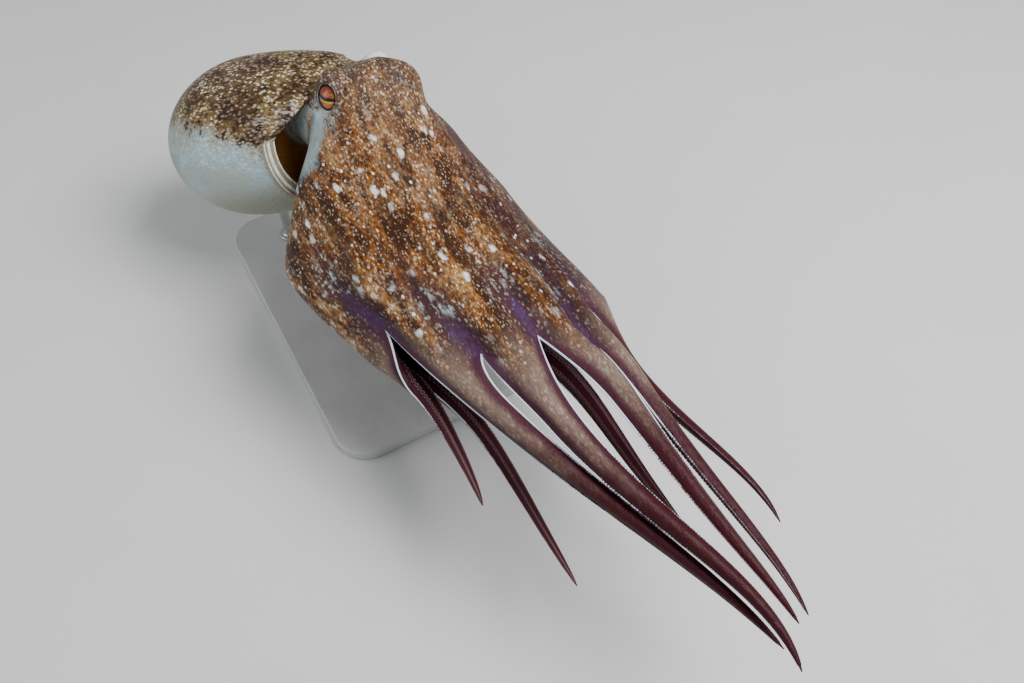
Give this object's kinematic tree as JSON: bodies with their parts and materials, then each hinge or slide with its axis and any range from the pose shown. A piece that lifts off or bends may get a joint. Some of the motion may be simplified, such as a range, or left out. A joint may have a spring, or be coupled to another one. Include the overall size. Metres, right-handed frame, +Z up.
{
  "type": "common octopus model",
  "caption": "Life-size still model of a common octopus jetting backwards, mantle leading and arms trailing, on a plain two-rod stand.",
  "frame": {"origin": "middle of the stand base's underside, where it meets the table", "axes": "+X from the mantle's end towards the arm tips, +Y towards the animal's left, +Z up"},
  "size_m": [0.6796, 0.2597, 0.2472],
  "materials": {
    "mantle_skin": "wet mottled skin, pearly below",
    "head_skin": "wet skin with fine pale specks",
    "crown_skin": "wet skin with fine pale specks",
    "web_skin": "wet thin skin",
    "arm_skin": "wet skin with pale suckers below",
    "tip_skin": "wet dark skin",
    "funnel_skin": "wet smooth skin",
    "eye": "glossy, clear-coated",
    "stand_plate": "satin paint",
    "stand_rod": "brushed"
  },
  "bodies": {
    "root": {"mantle": "mantle_skin", "head": "head_skin", "eye_right": "eye", "eye_left": "eye", "funnel": "funnel_skin", "arm_base_right_1": "crown_skin", "arm_middle_right_1": "arm_skin", "arm_tip_right_1": "tip_skin", "arm_base_right_2": "crown_skin", "arm_middle_right_2": "arm_skin", "arm_tip_right_2": "tip_skin", "arm_base_right_3": "crown_skin", "arm_middle_right_3": "arm_skin", "arm_tip_right_3": "tip_skin", "arm_base_right_4": "crown_skin", "arm_middle_right_4": "arm_skin", "arm_tip_right_4": "tip_skin", "arm_base_left_4": "crown_skin", "arm_middle_left_4": "arm_skin", "arm_tip_left_4": "tip_skin", "arm_base_left_3": "crown_skin", "arm_middle_left_3": "arm_skin", "arm_tip_left_3": "tip_skin", "arm_base_left_2": "crown_skin", "arm_middle_left_2": "arm_skin", "arm_tip_left_2": "tip_skin", "arm_base_left_1": "crown_skin", "arm_middle_left_1": "arm_skin", "arm_tip_left_1": "tip_skin", "web_dorsal": "web_skin", "web_right_1_2": "web_skin", "web_right_2_3": "web_skin", "web_right_3_4": "web_skin", "web_ventral": "web_skin", "web_left_4_3": "web_skin", "web_left_3_2": "web_skin", "web_left_2_1": "web_skin", "stand_base": "stand_plate", "stand_rod_rear": "stand_rod", "stand_rod_front": "stand_rod"}
  },
  "joints": []
}
